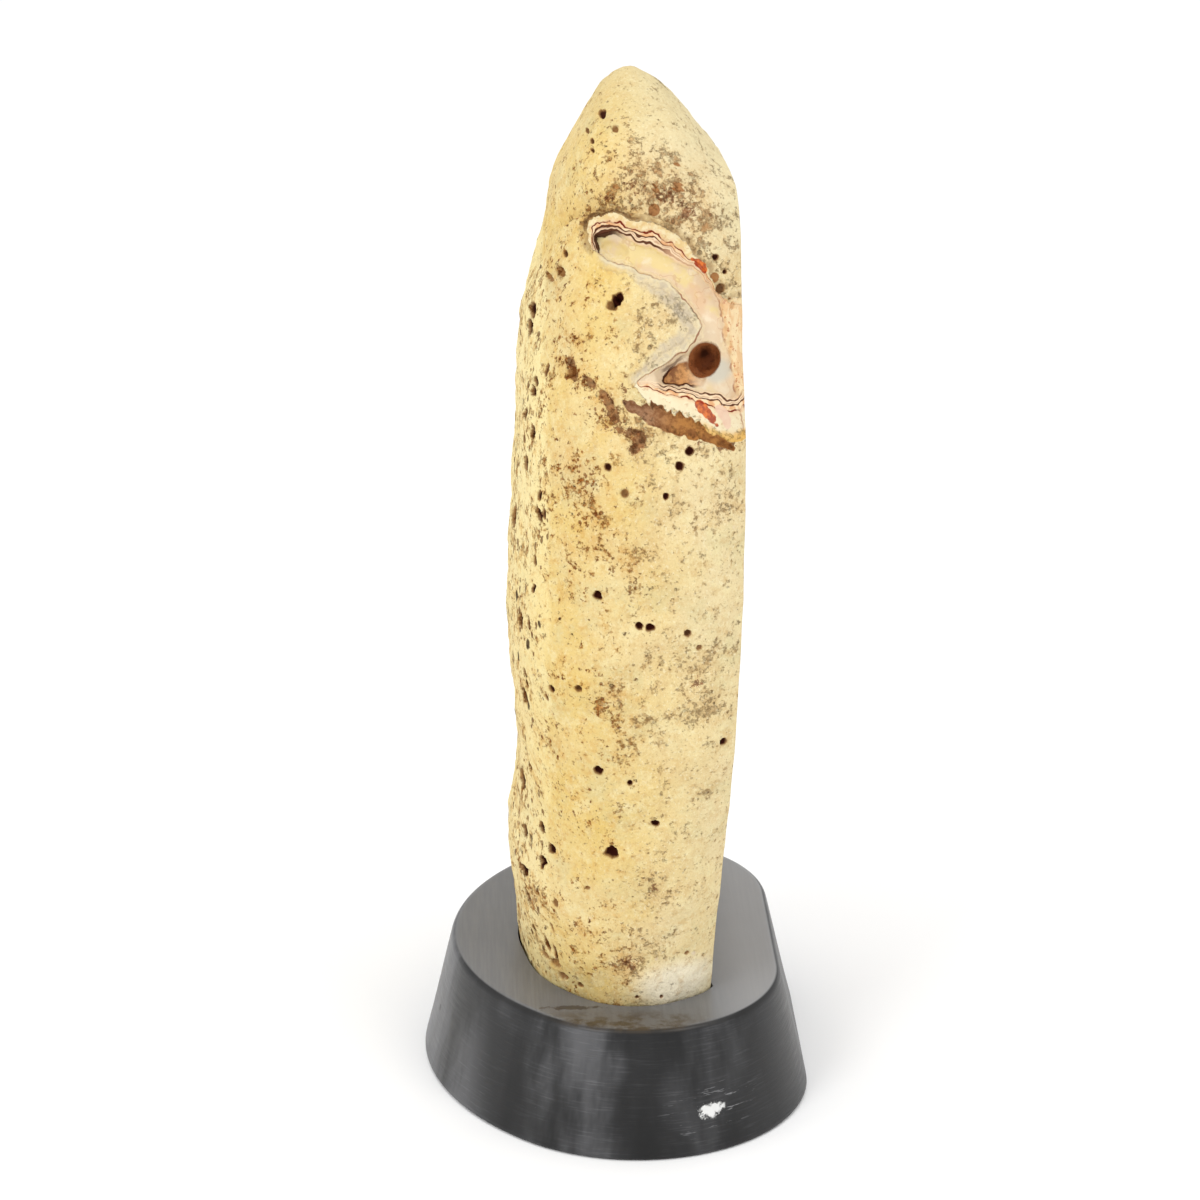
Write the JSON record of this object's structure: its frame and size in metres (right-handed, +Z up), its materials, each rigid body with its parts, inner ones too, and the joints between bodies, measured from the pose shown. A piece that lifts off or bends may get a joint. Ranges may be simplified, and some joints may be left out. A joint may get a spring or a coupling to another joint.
{
  "type": "agate geode on stand",
  "caption": "Tall pointed agate nodule with one flat sawn side and a banded hollow in its rough end, standing in the socket of a low dark wooden stand.",
  "frame": {"origin": "middle of the stand's underside", "axes": "+Z up along the stone; +X out of the stand's flat side, the way the sawn side faces; -Y towards the rough end with the agate hollow"},
  "size_m": [0.0946, 0.1276, 0.2503],
  "materials": {
    "stone": "dull tan porous rock outside, waxy banded agate in the hollow and polished banded agate on the sawn side",
    "stand": "black stain under a satin varnish"
  },
  "bodies": {
    "root": {"stone": "stone", "stand": "stand"}
  },
  "joints": []
}
